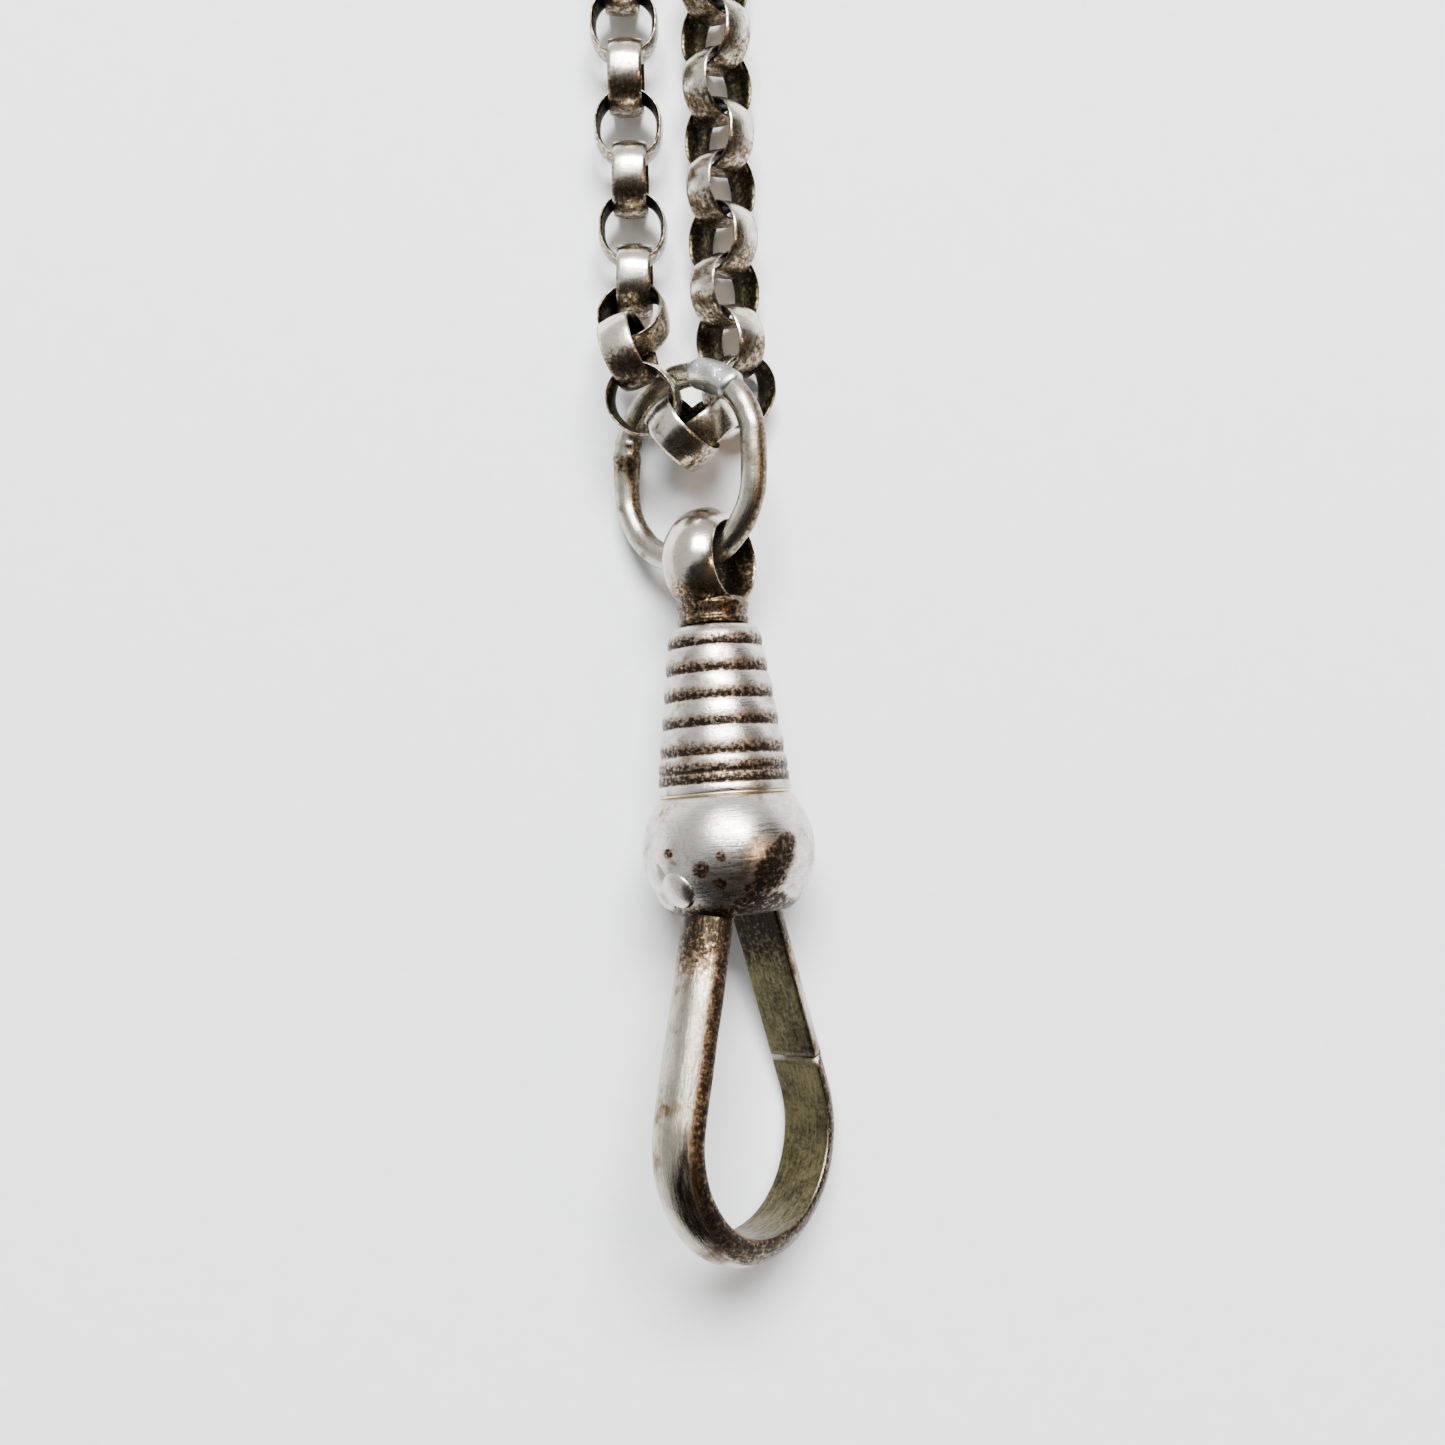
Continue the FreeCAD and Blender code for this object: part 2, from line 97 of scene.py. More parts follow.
# Jump ring, and the sleeve of solder over its joint, between two places in degrees round it
RING_PLACE = (-1.40, 10.45, 2.65)
RING_BEND_R, RING_STRAIGHT, RING_WIRE_R, RING_TILT = 3.28, 1.10, 0.525, 36.0
SLEEVE_R, SLEEVE_FROM, SLEEVE_TO = 0.66, 46.0, 84.0

CAMERA_HEIGHT = 62.0


def turn(axis, degrees):
    return Matrix.Rotation(math.radians(degrees), 4, axis)


CLIP = (Matrix.Translation((BULB_X, BULB_Y, BULB_R)) @ turn("Z", CLIP_YAW)
        @ turn("X", -CLIP_PITCH) @ turn("Y", CLIP_ROLL))
RING = Matrix.Translation(RING_PLACE) @ turn("Y", -RING_TILT)


# ---------------------------------------------------------------- mesh helpers

def mesh_object(name, bm, place):
    """A finished object from a bmesh in millimetres, carried by place into the frame."""
    bm.transform(TO_FRAME @ place)
    bmesh.ops.recalc_face_normals(bm, faces=bm.faces)
    for face in bm.faces:
        face.smooth = True
    data = bpy.data.meshes.new(name)
    bm.to_mesh(data)
    bm.free()
    obj = bpy.data.objects.new(name, data)
    bpy.context.scene.collection.objects.link(obj)
    return obj


def paint(obj, place, darkness):
    """Stores how dark each point is painted, from 0 to 1, by the given function of its own place in
    millimetres: real grime, and in places painted shade and painted reflections.
    """
    back = (TO_FRAME @ place).inverted()
    layer = obj.data.attributes.new("soot_and_shade", "FLOAT", "POINT")
    for vert, value in zip(obj.data.vertices, layer.data):
        value.value = max(0.0, min(1.0, darkness(back @ vert.co)))


def paint_dark_reflection(obj, depth):
    """Paints a dark brown reflection, a painted reflection of a dark thing, on the side that faces +X and up.
    """
    layer = obj.data.attributes["soot_and_shade"]
    for vert, value in zip(obj.data.vertices, layer.data):
        facing = rise(vert.normal.x, 0.10, 0.40) * rise(vert.normal.z, 0.05, 0.30)
        value.value = max(value.value, depth * facing)


def rise(value, low, high):
    """0 below low, 1 above high and smooth between; the other way round if low is the larger."""
    share = max(0.0, min(1.0, (value - low) / (high - low)))
    return share * share * (3 - 2 * share)


def grid(bm, rows, close_rows=False):
    """Quads between closed rows of points. Its UVs: u in millimetres over the rows, v by count round each."""
    uv = bm.loops.layers.uv.verify()
    deep = bm.verts.layers.float.get("deep") or bm.verts.layers.float.new("deep")
    made, along = [], 0.0
    lengths = [0.0]
    for one, two in zip(rows, rows[1:]):
        along += (Vector(one[0][0]) - Vector(two[0][0])).length
        lengths.append(along)
    for row in rows:
        verts = []
        for point, depth in row:
            vert = bm.verts.new(point)
            vert[deep] = depth
            verts.append(vert)
        made.append(verts)
    count, columns = len(made), len(made[0])
    for i in range(count if close_rows else count - 1):
        for j in range(columns):
            ring = ((i, j), (i, j + 1), (i + 1, j + 1), (i + 1, j))
            face = bm.faces.new([made[a % count][b % columns] for a, b in ring])
            for loop, (a, b) in zip(face.loops, ring):
                u = lengths[a] if a < count else lengths[-1] + lengths[1]
                loop[uv].uv = (u, b * 0.15)
    return made


def lathe(profile, segments=96):
    """A closed or open profile of (radius, y, depth), turned about Y."""
    bm = bmesh.new()
    rows = []
    for step in range(segments):
        angle = 2 * math.pi * step / segments
        rows.append([((r * math.cos(angle), y, r * math.sin(angle)), d) for r, y, d in profile])
    grid(bm, rows, close_rows=True)
    bmesh.ops.remove_doubles(bm, verts=bm.verts, dist=1e-5)
    return bm


def curve_points(a, m, b, count):
    """Points of the arc from a through m to b, in a plane."""
    ax, ay, bx, by, cx, cy = *a, *m, *b
    d = 2 * (ax * (by - cy) + bx * (cy - ay) + cx * (ay - by))
    if abs(d) < 1e-9:
        return [(ax + (cx - ax) * k / count, ay + (cy - ay) * k / count) for k in range(count + 1)]
    sa, sb, sc = ax * ax + ay * ay, bx * bx + by * by, cx * cx + cy * cy
    ux = (sa * (by - cy) + sb * (cy - ay) + sc * (ay - by)) / d
    uy = (sa * (cx - bx) + sb * (ax - cx) + sc * (bx - ax)) / d
    radius = math.hypot(ax - ux, ay - uy)
    start = math.atan2(ay - uy, ax - ux)
    middle = (math.atan2(by - uy, bx - ux) - start) % (2 * math.pi)
    end = (math.atan2(cy - uy, cx - ux) - start) % (2 * math.pi)
    if middle > end:
        end -= 2 * math.pi
    return [(ux + radius * math.cos(start + end * k / count), uy + radius * math.sin(start + end * k / count))
            for k in range(count + 1)]


def roughen(bm, amount, scale, seed):
    """Hand-made unevenness, along the normals."""
    bm.normal_update()
    shift = Vector((seed, seed * 0.7, -seed))
    moves = []
    for vert in bm.verts:
        moves.append(vert.normal * amount * noise.noise(vert.co * scale + shift))
    for vert, move in zip(bm.verts, moves):
        vert.co += move


# ---------------------------------------------------------------- chain links

def link_section(fine):
    """The band's section as (radius, z, depth), with rounded edges; depth is 1 on the inner face."""
    half, points = LINK_HALF_BAND, []
    steps = 10 if fine else 6
    for k in range(steps + 1):
        z = -half + 2 * half * k / steps
        points.append((LINK_INNER_R + LINK_INNER_RELIEF * (z / half) ** 2, z * 0.985, 1.0))
    points.append((LINK_OUTER_R - LINK_OUTER_DOME - 0.03, half, 0.3))
    for k in range(steps + 1):
        z = half - 2 * half * k / steps
        points.append((LINK_OUTER_R - LINK_OUTER_DOME * (z / half) ** 2, z * 0.985, 0.0))
    points.append((LINK_OUTER_R - LINK_OUTER_DOME - 0.03, -half, 0.3))
    return points


def link_mesh(steps=72, fine=True):
    bm = bmesh.new()
    half, rows = LINK_STRAIGHT / 2, []
    for step in range(steps):
        angle = 2 * math.pi * (step + 0.5) / steps
        offset = half if math.sin(angle) > 0 else -half
        rows.append([((r * math.cos(angle), r * math.sin(angle) + offset, z), d)
                     for r, z, d in link_section(fine)])
    grid(bm, rows, close_rows=True)
    return bm


def link_object(name, centre, yaw, lift, roll, body):
    place = Matrix.Translation(centre) @ turn("Z", yaw) @ turn("X", lift) @ turn("Y", roll)
    bm = link_mesh()
    roughen(bm, 0.012, 1.3, seed=centre[0] * 3.1 + centre[1])
    obj = mesh_object(name + "_look", bm, place)
    paint(obj, place, link_grime_and_shade)
    settle(obj, body, "tarnished_silver", LINK_SILVER, name)


def link_grime_and_shade(point):
    """Black inside, most where the next links sit, and brown along the band's edges; the half on the link's
    own -Y side is painted shade in brown.
    """
    radius = math.hypot(point.x, point.y)
    inside = rise(radius, 1.40, 1.30)
    ends = inside * (0.6 + 0.4 * rise(abs(point.y), 0.2, 0.9))
    # The middle term is painted shade: it darkens the half of each link on its own -Y side.
    return max(ends, 0.58 * rise(point.y, 0.15, -0.85), 0.5 * rise(abs(point.z), 0.56, 0.70))


def make_links():
    for side, (first_y, first_x, last_x, roll, height) in STRANDS.items():
        for index in range(STRAND_COUNT):
            share = index / (STRAND_COUNT - 1)
            centre = (first_x + (last_x - first_x) * share, first_y + PITCH * index, height)
            name = "%s_link_%d" % (side, index + 1)
            link_object(name, centre, 0, 0, roll + 90 * index, "pair_%d" % (index + 1))
    for number, (centre, yaw, lift, roll) in enumerate(BEND_LINKS, 1):
        link_object("bend_link_%d" % number, centre, yaw, lift, roll, "bend")


# ---------------------------------------------------------------- materials

OLIVE = (0.098, 0.084, 0.044)


class Nodes:
    """A small hand for building node trees."""

    def __init__(self, material):
        material.use_nodes = True
        self.tree = material.node_tree
        self.tree.nodes.clear()

    def add(self, kind, inputs=None, **settings):
        node = self.tree.nodes.new("ShaderNode" + kind)
        for key, value in settings.items():
            setattr(node, key, value)
        for key, value in (inputs or {}).items():
            if isinstance(value, bpy.types.NodeSocket):
                self.tree.links.new(value, node.inputs[key])
            else:
                node.inputs[key].default_value = value
        return node

    def ramp(self, value, stops):
        node = self.add("ValToRGB", {"Fac": value})
        elements = node.color_ramp.elements
        while len(elements) < len(stops):
            elements.new(0.5)
        for element, (position, color) in zip(elements, stops):
            element.position = position
            if not isinstance(color, tuple):
                color = (color, color, color)
            element.color = (*color, 1.0)
        return node.outputs["Color"]

    def math(self, operation, a, b=0.0, clamp=False):
        node = self.add("Math", operation=operation, use_clamp=clamp)
        for socket, value in zip(node.inputs, (a, b)):
            if isinstance(value, bpy.types.NodeSocket):
                self.tree.links.new(value, socket)
            else:
                socket.default_value = value
        return node.outputs[0]

    def mix(self, factor, a, b):
        node = self.add("Mix", data_type="RGBA")
        for index, value in ((0, factor), (6, a), (7, b)):
            if isinstance(value, bpy.types.NodeSocket):
                self.tree.links.new(value, node.inputs[index])
            else:
                node.inputs[index].default_value = (*value, 1.0) if isinstance(value, tuple) else value
        return node.outputs[2]


def silver(name, bright, mid, dark, inner=OLIVE, patch=0.45, patch_scale=0.9, shine=0.2, dull=0.45,
           scratch=0.2, pits=0.0, relief=0.35, streak=(1.2, 9.0)):
    """Old silver: bright where it is rubbed, brown to black where it is not, with fine scratches."""
    material = bpy.data.materials.new(name)
    n = Nodes(material)
    place = n.add("TexCoord").outputs["Object"]
    mm = n.add("Mapping", {"Vector": place, "Scale": (1000, 1000, 1000)}).outputs[0]
    uv = n.add("UVMap").outputs[0]
    streak_uv = n.add("Mapping", {"Vector": uv, "Scale": (streak[0], streak[1], 1)}).outputs[0]
    patches = n.add("TexNoise", {"Vector": mm, "Scale": patch_scale, "Detail": 7, "Roughness": 0.66,
                                 "Distortion": 0.4})
    fine = n.add("TexNoise", {"Vector": mm, "Scale": 6.0, "Detail": 6, "Roughness": 0.65})
    streaks = n.add("TexNoise", {"Vector": streak_uv, "Scale": 1.0, "Detail": 6, "Roughness": 0.7})
    edge = 0.66 - 0.20 * patch
    stain = n.ramp(patches.outputs["Fac"], [(edge - 0.12, 0.0), (edge + 0.06, 0.45), (edge + 0.20, 1.0)])
    specks = n.ramp(fine.outputs["Fac"], [(0.60, 0.0), (0.70, 1.0)])
    specks = n.math("MULTIPLY", specks, n.ramp(patches.outputs["Fac"], [(0.45, 0.0), (0.60, 0.9)]))
    mottle = n.ramp(fine.outputs["Fac"], [(0.30, 0.0), (0.72, 1.0)])
    inside = n.add("Attribute", attribute_name="deep").outputs["Fac"]
    # This attribute darkens the colour: real grime, and in places painted shade and painted reflections.
    soot_and_shade = n.add("Attribute", attribute_name="soot_and_shade").outputs["Fac"]
    ragged = n.math("MULTIPLY", soot_and_shade, n.math("ADD", n.math("MULTIPLY", mottle, 1.1), 0.55), clamp=True)
    amount = n.math("MAXIMUM", n.math("MULTIPLY", stain, patch), n.math("MULTIPLY", specks, patch))
    amount = n.math("MAXIMUM", amount, ragged)
    amount = n.math("ADD", amount, n.math("MULTIPLY", n.math("SUBTRACT", mottle, 0.5), 0.20), clamp=True)
    streak_shift = n.math("SUBTRACT", streaks.outputs["Fac"], 0.5)
    amount = n.math("ADD", amount, n.math("MULTIPLY", streak_shift, scratch * 1.2), clamp=True)
    rubbed = tuple(c * 0.72 for c in bright)
    outside = n.ramp(amount, [(0.0, bright), (0.30, rubbed), (0.62, mid), (1.0, dark)])
    blotch = n.math("ADD", amount, n.math("MULTIPLY", n.math("SUBTRACT", mottle, 0.45), 0.55), clamp=True)
    blotch = n.math("ADD", blotch, n.math("MULTIPLY", streak_shift, 0.7), clamp=True)
    within = n.ramp(blotch, [(0.0, tuple(c * 1.7 for c in inner)), (0.30, inner), (0.85, dark)])
    color = n.mix(inside, outside, within)
    rough = n.math("ADD", n.math("MULTIPLY", n.math("MAXIMUM", amount, n.math("MULTIPLY", inside, 0.6)),
                                 dull - shine), shine)
    rough = n.math("ADD", rough, n.math("MULTIPLY", streak_shift, scratch))
    height = n.math("ADD", n.math("MULTIPLY", streaks.outputs["Fac"], scratch * 3),
                    n.math("MULTIPLY", fine.outputs["Fac"], 0.6))
    if pits:
        spots = n.add("TexVoronoi", {"Vector": mm, "Scale": 4.0, "Randomness": 1.0})
        dents = n.ramp(spots.outputs["Distance"], [(0.05, 0.0), (0.30, 1.0)])
        height = n.math("ADD", height, n.math("MULTIPLY", dents, pits))
    bump = n.add("Bump", {"Height": height, "Strength": relief, "Distance": 0.00003})
    shader = n.add("BsdfPrincipled", {"Base Color": color, "Roughness": rough, "Normal": bump.outputs[0],
                                      "Metallic": 1.0})
    out = n.add("OutputMaterial")
    n.tree.links.new(shader.outputs[0], out.inputs[0])
    return material


def finish(obj, material):
    obj.data.materials.clear()
    obj.data.materials.append(material)


CREAM = (0.78, 0.73, 0.61)
BROWN, BLACK = (0.17, 0.125, 0.080), (0.016, 0.012, 0.008)
LINK_SILVER = silver("link_silver", CREAM, BROWN, BLACK, patch=0.78, patch_scale=1.1, shine=0.16, dull=0.42)
HOOK_SILVER = silver("hook_silver", (0.47, 0.43, 0.34), (0.14, 0.092, 0.052), BLACK, (0.074, 0.064, 0.032),
                     patch=0.80, patch_scale=0.5, shine=0.18, dull=0.45, scratch=0.70)
SHELL_SILVER = silver("shell_silver", (0.64, 0.61, 0.545), (0.23, 0.17, 0.125), BLACK, patch=0.74,
                      patch_scale=0.7, shine=0.22, dull=0.5, pits=0.35, scratch=0.35)
RING_SILVER = silver("ring_silver", (0.46, 0.43, 0.345), (0.17, 0.125, 0.075), BLACK, patch=0.82,
                     shine=0.22, dull=0.45, patch_scale=1.0, pits=0.25, scratch=0.35)
EYE_SILVER = silver("eye_silver", (0.66, 0.61, 0.51), (0.17, 0.115, 0.065), BLACK, patch=0.62,
                    patch_scale=0.5, shine=0.15, dull=0.42, scratch=0.35)
SOLDER_GREY = silver("solder_grey", (0.54, 0.55, 0.53), (0.28, 0.28, 0.25), (0.06, 0.055, 0.045), patch=0.45,
                     shine=0.36, dull=0.6, patch_scale=1.6, pits=0.9, relief=0.7)
SOLDER_GOLD = silver("solder_gold", (0.80, 0.66, 0.42), (0.42, 0.30, 0.15), (0.06, 0.04, 0.02), patch=0.45,
                     shine=0.28, dull=0.55, patch_scale=2.0)
SPRING_STEEL = silver("spring_steel", (0.45, 0.44, 0.42), (0.2, 0.17, 0.13), BLACK, patch=0.4)


# ---------------------------------------------------------------- the coiled chain

def chain_height(roll):
    """The height of the chain's axis when its links, rolled by turns a right angle apart, touch the table."""
    corner = LINK_OUTER_R - LINK_OUTER_DOME
    heights = []
    for angle in (math.radians(roll), math.radians(roll + 90)):
        sine, cosine = abs(math.sin(angle)), abs(math.cos(angle))
        heights.append(max(LINK_OUTER_R * sine, corner * sine + LINK_HALF_BAND * cosine))
    return max(heights) + CHAIN_OFF_TABLE


def evenly(start, stop, spacing):
    """Values from start to stop, both included, about spacing apart."""
    count = max(1, round(abs(stop - start) / spacing))
    return [start + (stop - start) * step / count for step in range(count + 1)]


def coil_point(angle, radius):
    """A point of the coil: angle runs clockwise from its left side."""
    middle_x = STRANDS["left"][2] + COIL_R
    return Vector((middle_x - radius * math.cos(angle), COIL_Y + radius * math.sin(angle), 0))


def stored_path():
    """The chain's line out of view: straight on, round and in, an S in the middle, and out beside itself."""
    left_x, right_x = STRANDS["left"][2], STRANDS["right"][2]
    left_y, right_y = STRANDS["left"][0], STRANDS["right"][0]
    gap = right_x - left_x
    fall = gap / math.pi
    sweep = (COIL_R - COIL_HEART_R) / fall
    last = PITCH * (STRAND_COUNT - 0.5)
    heart = coil_point(sweep, COIL_HEART_R / 2)
    far_heart = coil_point(sweep - math.pi, COIL_HEART_R / 2)
    spoke = coil_point(sweep, COIL_HEART_R) - heart
    points = [Vector((left_x, y, 0)) for y in evenly(left_y + last, COIL_Y, 0.5)]
    points += [coil_point(a, COIL_R - fall * a) for a in evenly(0, sweep, 0.02)]
    points += [heart + turn("Z", -a) @ spoke for a in evenly(2, 180, 2)]
    points += [far_heart + turn("Z", a) @ spoke for a in evenly(2, 178, 2)]
    points += [coil_point(a, COIL_R - gap - fall * a) for a in evenly(sweep - math.pi, 0, 0.02)]
    points += [Vector((right_x, y, 0)) for y in evenly(COIL_Y, right_y + last, 0.5)]
    return points


def walk(points, step):
    """An even number of stations along the points: each station's middle and its heading."""
    runs = [(a, b, (b - a).length) for a, b in zip(points, points[1:]) if (b - a).length > 1e-6]
    total = sum(run[2] for run in runs)
    count = 2 * round(total / (2 * step))
    stations, travelled = [], 0.0
    for start, end, length in runs:
        while len(stations) < count:
            wanted = total * (len(stations) + 0.5) / count
            if wanted > travelled + length:
                break
            heading = math.degrees(math.atan2(start.x - end.x, end.y - start.y))
            stations.append((start + (end - start) * (wanted - travelled) / length, heading))
        travelled += length
    return stations


def make_coil():
    """The coil's links, one object for each of the frame's stretches."""
    placed = []
    for index, (middle, heading) in enumerate(walk(stored_path(), STORED_STEP)):
        drift = -45.0 * min(1.0, (index + 1) / ROLL_DRIFT_LINKS)
        middle.z = chain_height(drift)
        placed.append(Matrix.Translation(middle) @ turn("Z", heading) @ turn("Y", drift + 90 * index))
    for first in range(0, len(placed), STORED_PER_NODE):
        name = "stored_chain_%02d" % (first // STORED_PER_NODE + 1)
        bm = bmesh.new()
        for place in placed[first:first + STORED_PER_NODE]:
            link = link_mesh(steps=40, fine=False)
            soil(link)
            link.transform(place)
            join_into(bm, link)
        obj = mesh_object(name + "_look", bm, Matrix())
        settle(obj, "stored_chain", "tarnished_silver", LINK_SILVER, name)


def soil(bm):
    """Stores a link's grime and painted shade in its own points, before it is carried to its place."""
    layer = bm.verts.layers.float.new("soot_and_shade")
    for vert in bm.verts:
        vert[layer] = link_grime_and_shade(vert.co)


# ---------------------------------------------------------------- bulb and barrel

def bulb_profile():
    outer = curve_points((BULB_TOP_R, BULB_TOP_Y), (BULB_R, 0), (BULB_FOOT_R, BULB_FOOT_Y), 44)
    foot = curve_points((BULB_FOOT_R, BULB_FOOT_Y), (BULB_FOOT_R / 2, BULB_FOOT_Y - 0.15),
                        (0.001, BULB_FOOT_Y - 0.2), 12)
    wall = SHELL_WALL
    foot_in = curve_points((0.001, BULB_FOOT_Y - 0.2 + wall),
                           (BULB_FOOT_R / 2 - 0.1, BULB_FOOT_Y - 0.15 + wall),
                           (BULB_FOOT_R - wall, BULB_FOOT_Y + wall), 8)
    inner = curve_points((BULB_FOOT_R - wall, BULB_FOOT_Y + wall), (BULB_R - wall, 0),
                         (BULB_TOP_R - wall, BULB_TOP_Y), 24)
    points = [(x, y, 0.0) for x, y in outer + foot[1:]]
    points += [(x, y, 1.0) for x, y in foot_in + inner[1:]]
    return points


def cut_by(obj, cutter):
    """The object with the cutter taken out of it, and the cutter gone."""
    tool = obj.modifiers.new("cut", "BOOLEAN")
    tool.object = cutter
    tool.solver = "EXACT"
    bpy.context.view_layer.update()
    evaluated = obj.evaluated_get(bpy.context.evaluated_depsgraph_get())
    data = bpy.data.meshes.new_from_object(evaluated)
    obj.modifiers.clear()
    old = obj.data
    obj.data = data
    bpy.data.meshes.remove(old)
    bpy.data.objects.remove(cutter)


def slot_cutter():
    """The rounded block that opens the bulb's foot for the gate to swing."""
    bm = bmesh.new()
    size = (SLOT_LONG, SLOT_HIGH, HOOK_DEEP + SLOT_CLEARANCE)
    middle = (SLOT_FROM_X + SLOT_LONG / 2, BULB_FOOT_Y + 0.3, 0)
    bmesh.ops.create_cube(bm, size=1.0)
    bmesh.ops.scale(bm, vec=size, verts=bm.verts)
    bmesh.ops.translate(bm, vec=middle, verts=bm.verts)
    bmesh.ops.bevel(bm, geom=list(bm.edges), offset=SLOT_EDGE_R, segments=4, profile=0.5, affect="EDGES")
    return mesh_object("slot_cutter", bm, CLIP)


# Each stain: x and y from the bulb's middle and reach in millimetres, then depth from 0 to 1. The first seven
# rows, on the right and lower side, make the brown patch: tarnish with a painted reflection of a dark thing
# over it. The rest are dark spots.
BULB_STAINS_AND_REFLECTION = (
    (2.20, 0.55, 0.60, 0.9), (1.95, 0.05, 0.85, 1.0), (1.55, -0.60, 0.95, 1.0), (1.05, -1.35, 0.85, 0.9),
    (1.90, -1.75, 0.60, 1.0), (1.15, -1.90, 0.65, 1.0), (0.50, -1.80, 0.50, 0.9),
    (-2.35, 0.10, 0.28, 1.0), (-1.05, -0.45, 0.48, 1.0), (-0.30, 0.10, 0.34, 1.0), (-0.35, -0.95, 0.42, 1.0),
    (-2.45, -1.10, 0.22, 1.0), (-1.50, -1.60, 0.26, 0.8), (-3.00, -0.60, 0.22, 0.7),
)


def bulb_stains_and_reflection(point):
    """The brown patch, partly tarnish and partly a painted reflection, and the dark spots on the bulb's upper
    side, for a point set upright about its middle.
    """
    if point.z < 0:
        return 0.0
    away = ((math.hypot(point.x - x, point.y - y) / reach, depth) for x, y, reach, depth in BULB_STAINS_AND_REFLECTION)
    return max(depth * rise(share, 1.0, 0.45) for share, depth in away)


def make_bulb():
    bm = lathe(bulb_profile(), 128)
    roughen(bm, 0.02, 0.6, seed=4.0)
    obj = mesh_object("bulb_shell_look", bm, CLIP)
    cut_by(obj, slot_cutter())
    for polygon in obj.data.polygons:
        polygon.use_smooth = True
    upright = CLIP.to_3x3().to_4x4()
    paint(obj, CLIP, lambda point: max(rise(point.y, BULB_FOOT_Y + 0.75, BULB_FOOT_Y + 0.1),
                                       bulb_stains_and_reflection(upright @ point)))
    settle(obj, "clip", "worn_silver", SHELL_SILVER, "bulb_shell")


def settle(obj, body, slot, material, *nodes):
    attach(obj, body)
    if nodes:
        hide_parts(*nodes)
    finish(obj, material)


def barrel_radius(y):
    share = (y - SOLDER_RING_TOP_Y) / (BARREL_TOP_Y - SOLDER_RING_TOP_Y)
    return BARREL_FOOT_R + (BARREL_TOP_R - BARREL_FOOT_R) * share


def barrel_profile():
    """Rounded ribs between narrow dark grooves, up one side and down the hollow inside."""
    stops = [SOLDER_RING_TOP_Y] + [BARREL_TOP_Y - g for g in reversed(GROOVES_FROM_TOP)]
    stops.append(BARREL_TOP_Y - 0.25)
    points = []
    for low, high in zip(stops, stops[1:]):
        steps = 12
        for k in range(steps):
            share = k / steps
            y = low + (high - low) * share
            bulge = math.sin(math.pi * share) ** 0.6 * min(1.0, (high - low) / 0.8)
            points.append((barrel_radius(y) - 0.06 + 0.09 * bulge, y, 0.0))
    end = barrel_radius(stops[-1]) - 0.06
    points += [(end, stops[-1], 0.4), (end - 0.07, BARREL_TOP_Y - 0.07, 0.0), (end - 0.25, BARREL_TOP_Y, 0.0)]
    points += [(BARREL_MOUTH_R, BARREL_TOP_Y, 0.6), (BARREL_MOUTH_R, BARREL_TOP_Y - 0.6, 1.0)]
    points += [(barrel_radius(8.5) - SHELL_WALL, 8.5, 1.0), (BULB_TOP_R - SHELL_WALL, SOLDER_RING_TOP_Y, 1.0)]
    return points


def groove_grime_and_shade(y):
    """Black in the grooves, and painted shade on the lower half of each rib, reaching up to 0.85 mm from each
    groove towards the eye.
    """
    worst = 0.0
    for groove in GROOVES_FROM_TOP:
        above = y - (BARREL_TOP_Y - groove)
        # Past a groove towards the eye the darkening is painted shade over the rib's lower half; the other
        # side is the groove's own black.
        worst = max(worst, rise(above, 0.85, 0.0) if above > 0 else rise(-above, 0.12, 0.02))
    return worst


def make_barrel():
    bm = lathe(barrel_profile(), 128)
    roughen(bm, 0.015, 0.9, seed=9.0)
    obj = mesh_object("barrel_look", bm, CLIP)
    paint(obj, CLIP, lambda point: groove_grime_and_shade(point.y))
    settle(obj, "clip", "worn_silver", SHELL_SILVER, "barrel")


def make_solder_ring():
    profile = [(SOLDER_RING_FOOT_R, BULB_TOP_Y, 0.0)]
    for k in range(9):
        angle = math.pi * (k / 8 - 0.5)
        profile.append((BULB_TOP_R + 0.05 * math.cos(angle), 2.31 + 0.06 * math.sin(angle), 0.0))
    profile.append((SOLDER_RING_FOOT_R, SOLDER_RING_TOP_Y, 0.0))
    bm = lathe(profile, 128)
    obj = mesh_object("barrel_solder_ring_look", bm, CLIP)
    settle(obj, "clip", "solder", SOLDER_GOLD, "barrel_solder_ring")


# ---------------------------------------------------------------- swivel eye

def remeshed(obj, voxel, passes):
    """One skin over everything in the object, with its inside corners softened."""
    tool = obj.modifiers.new("skin", "REMESH")
    tool.mode = "VOXEL"
    tool.voxel_size = voxel * MM
    tool.use_smooth_shade = True
    soft = obj.modifiers.new("soft", "SMOOTH")
    soft.factor = 0.5
    soft.iterations = passes
    bpy.context.view_layer.update()
    data = bpy.data.meshes.new_from_object(obj.evaluated_get(bpy.context.evaluated_depsgraph_get()))
    obj.modifiers.clear()
    obj.data = data
    for polygon in data.polygons:
        polygon.use_smooth = True
    return obj


def eye_axis():
    """The direction of the eye's hole in the clip's own place."""
    tilt = math.radians(EYE_ELEVATION)
    own = CLIP.to_3x3().inverted() @ Vector((math.cos(tilt), 0, math.sin(tilt)))
    own.y = 0
    return own.normalized()


def eye_band():
    half = EYE_HALF_BAND
    inner = curve_points((EYE_LIP_R, -half), (EYE_HOLE_R, 0), (EYE_LIP_R, half), 16)
    outer = curve_points((EYE_LIP_R, half), (EYE_OUTER_R, 0), (EYE_LIP_R, -half), 20)
    bm = lathe([(r, y, 0.0) for r, y in inner + outer[1:-1]], 96)
    aimed = Vector((0, 1, 0)).rotation_difference(eye_axis()).to_matrix().to_4x4()
    bm.transform(Matrix.Translation((0, EYE_Y, 0)) @ aimed)
    return bm


